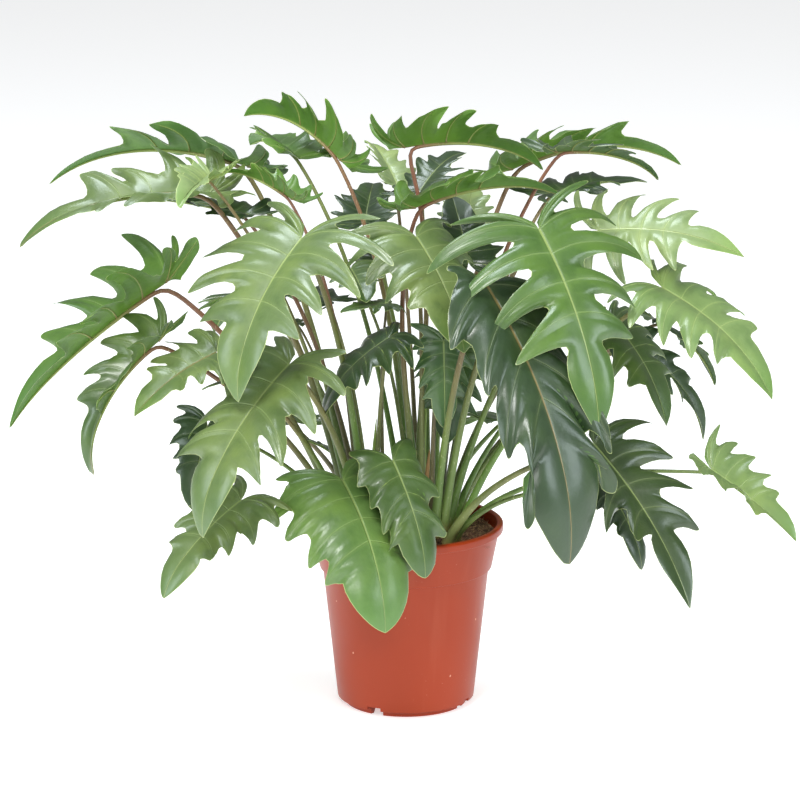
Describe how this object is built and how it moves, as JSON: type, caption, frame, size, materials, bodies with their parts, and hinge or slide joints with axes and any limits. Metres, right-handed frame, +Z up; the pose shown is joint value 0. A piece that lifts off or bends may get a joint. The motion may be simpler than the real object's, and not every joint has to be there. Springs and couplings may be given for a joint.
{
  "type": "potted philodendron",
  "caption": "Bushy philodendron in a tapered terracotta-coloured nursery pot: long thin stalks carry deeply lobed, arching and drooping green leaves.",
  "frame": {"origin": "centre of the pot's flat underside, on the floor", "axes": "+Z up, -Y to the front, +X to the right; the plant spreads widest along X"},
  "size_m": [0.7536, 0.5038, 0.5919],
  "materials": {
    "terracotta_plastic": "smooth injection-moulded polypropylene, terracotta orange, low sheen, a few pale scuffs",
    "planting_mix": "dark brown fibrous peat and bark mix, matt",
    "crown_bark": "short woody crown with leaf scars, matt",
    "leaf_bright": "young blade, bright green, waxy sheen, light shows through it",
    "leaf_pale": "pale yellowish green blade with cream veins, waxy sheen",
    "leaf_sage": "sage green blade with pale veins and a thin pale margin, waxy sheen",
    "leaf_mid": "middle green blade with pale veins, waxy sheen",
    "leaf_dark": "old dark green blade, glossy, with paler veins",
    "new_leaf": "rolled new leaf, light green, smooth",
    "bud_scale": "dry papery straw-brown scale"
  },
  "bodies": {
    "root": {"pot": "terracotta_plastic", "soil": "planting_mix", "crown_1": "crown_bark", "crown_2": "crown_bark", "crown_3": "crown_bark", "leaf_01": "leaf_bright", "leaf_02": "leaf_bright", "leaf_03": "leaf_bright", "leaf_04": "leaf_bright", "leaf_05": "leaf_sage", "leaf_06": "leaf_dark", "leaf_07": "leaf_pale", "leaf_08": "leaf_dark", "leaf_09": "leaf_sage", "leaf_10": "leaf_bright", "leaf_11": "leaf_mid", "leaf_12": "leaf_sage", "leaf_13": "leaf_sage", "leaf_14": "leaf_dark", "leaf_15": "leaf_sage", "leaf_16": "leaf_mid", "leaf_17": "leaf_mid", "leaf_18": "leaf_sage", "leaf_19": "leaf_bright", "leaf_20": "leaf_dark", "leaf_21": "leaf_pale", "leaf_22": "leaf_dark", "leaf_23": "leaf_mid", "leaf_24": "leaf_mid", "leaf_25": "leaf_dark", "leaf_26": "leaf_dark", "leaf_27": "leaf_dark", "leaf_28": "leaf_bright", "leaf_29": "leaf_dark", "leaf_30": "leaf_dark", "leaf_31": "leaf_dark", "leaf_32": "leaf_bright", "leaf_33": "leaf_pale", "leaf_34": "leaf_dark", "leaf_35": "leaf_sage", "leaf_36": "leaf_dark", "leaf_37": "leaf_dark", "leaf_38": "leaf_mid", "leaf_39": "leaf_mid", "leaf_40": "leaf_dark", "leaf_41": "leaf_sage", "leaf_42": "leaf_dark", "leaf_43": "leaf_pale", "leaf_44": "leaf_dark", "leaf_45": "leaf_dark", "leaf_46": "leaf_mid", "leaf_47": "leaf_mid", "leaf_48": "leaf_mid", "leaf_49": "leaf_mid", "leaf_50": "leaf_mid", "new_leaf_1": "new_leaf", "new_leaf_2": "new_leaf", "bud_scale": "bud_scale"}
  },
  "joints": []
}
